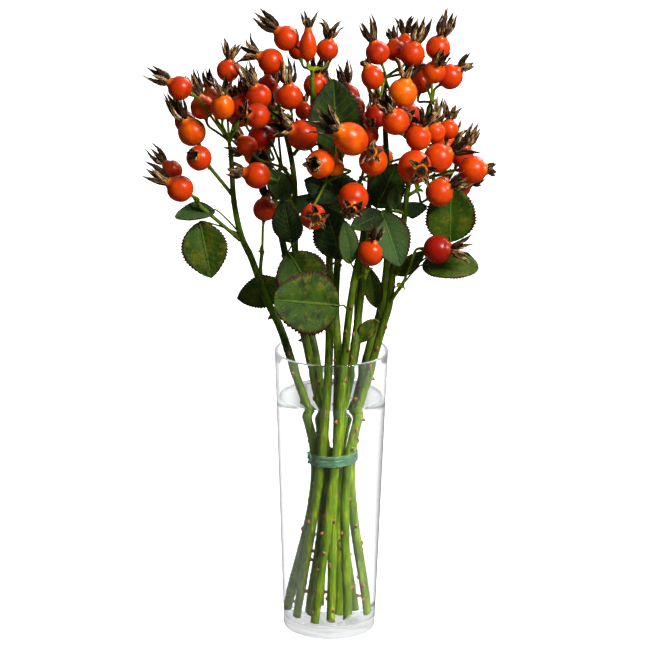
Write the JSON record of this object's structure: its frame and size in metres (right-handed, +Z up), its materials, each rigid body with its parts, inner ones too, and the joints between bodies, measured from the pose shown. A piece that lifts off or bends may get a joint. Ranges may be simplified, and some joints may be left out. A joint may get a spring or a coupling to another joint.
{
  "type": "rose hip sprig bunch in vase",
  "caption": "Bunch of cut rose hip sprigs with leaves, tied with raffia and standing in a tall tapered clear glass vase of water.",
  "frame": {"origin": "centre of the vase's flat underside", "axes": "+Z up along the vase's axis, -Y the front of the bunch, +X to its right seen from the front"},
  "size_m": [0.2599, 0.1741, 0.5031],
  "materials": {
    "glass": "clear polished glass",
    "water": "clear still water",
    "bark": "satin green and brown rose bark",
    "hip": "glossy red-orange fruit skin",
    "sepal": "dry brown-black sepals",
    "leaf": "satin green leaf with red-brown margin",
    "raffia": "matt green raffia"
  },
  "bodies": {
    "root": {"cane_centre": "bark", "cane_centre_rear": "bark", "cane_centre_right": "bark", "cane_front": "bark", "cane_front_left": "bark", "cane_left": "bark", "cane_left_rear": "bark", "cane_rear": "bark", "cane_right": "bark", "cane_right_rear": "bark", "leaf_behind_canes": "leaf", "leaf_dark_left": "leaf", "leaf_dark_middle": "leaf", "leaf_front_behind": "leaf", "leaf_front_dark": "leaf", "leaf_front_grey": "leaf", "leaf_front_large": "leaf", "leaf_front_olive": "leaf", "leaf_grey_left": "leaf", "leaf_inner_middle": "leaf", "leaf_inner_right": "leaf", "leaf_left": "leaf", "leaf_left_edge": "leaf", "leaf_middle_large": "leaf", "leaf_narrow": "leaf", "leaf_node_dark": "leaf", "leaf_pale_small": "leaf", "leaf_rear_left": "leaf", "leaf_rear_middle": "leaf", "leaf_rear_right": "leaf", "leaf_right": "leaf", "leaf_right_low": "leaf", "leaf_right_middle": "leaf", "leaf_small_front": "leaf", "tie": "raffia", "truss_far_right_top": "hip", "truss_front_low": "hip", "truss_front_middle": "hip", "truss_front_right": "hip", "truss_inner_right": "hip", "truss_left_branch": "hip", "truss_left_low": "hip", "truss_left_shoot": "hip", "truss_left_top": "hip", "truss_middle": "hip", "truss_middle_left": "hip", "truss_rear_left": "hip", "truss_rear_middle": "hip", "truss_rear_right": "hip", "truss_right_front": "hip", "truss_right_low": "hip", "truss_right_side": "hip", "truss_right_top": "hip", "truss_summit": "hip", "truss_upper_left": "hip", "truss_upper_right": "hip", "vase": "glass", "water": "water"}
  },
  "joints": []
}
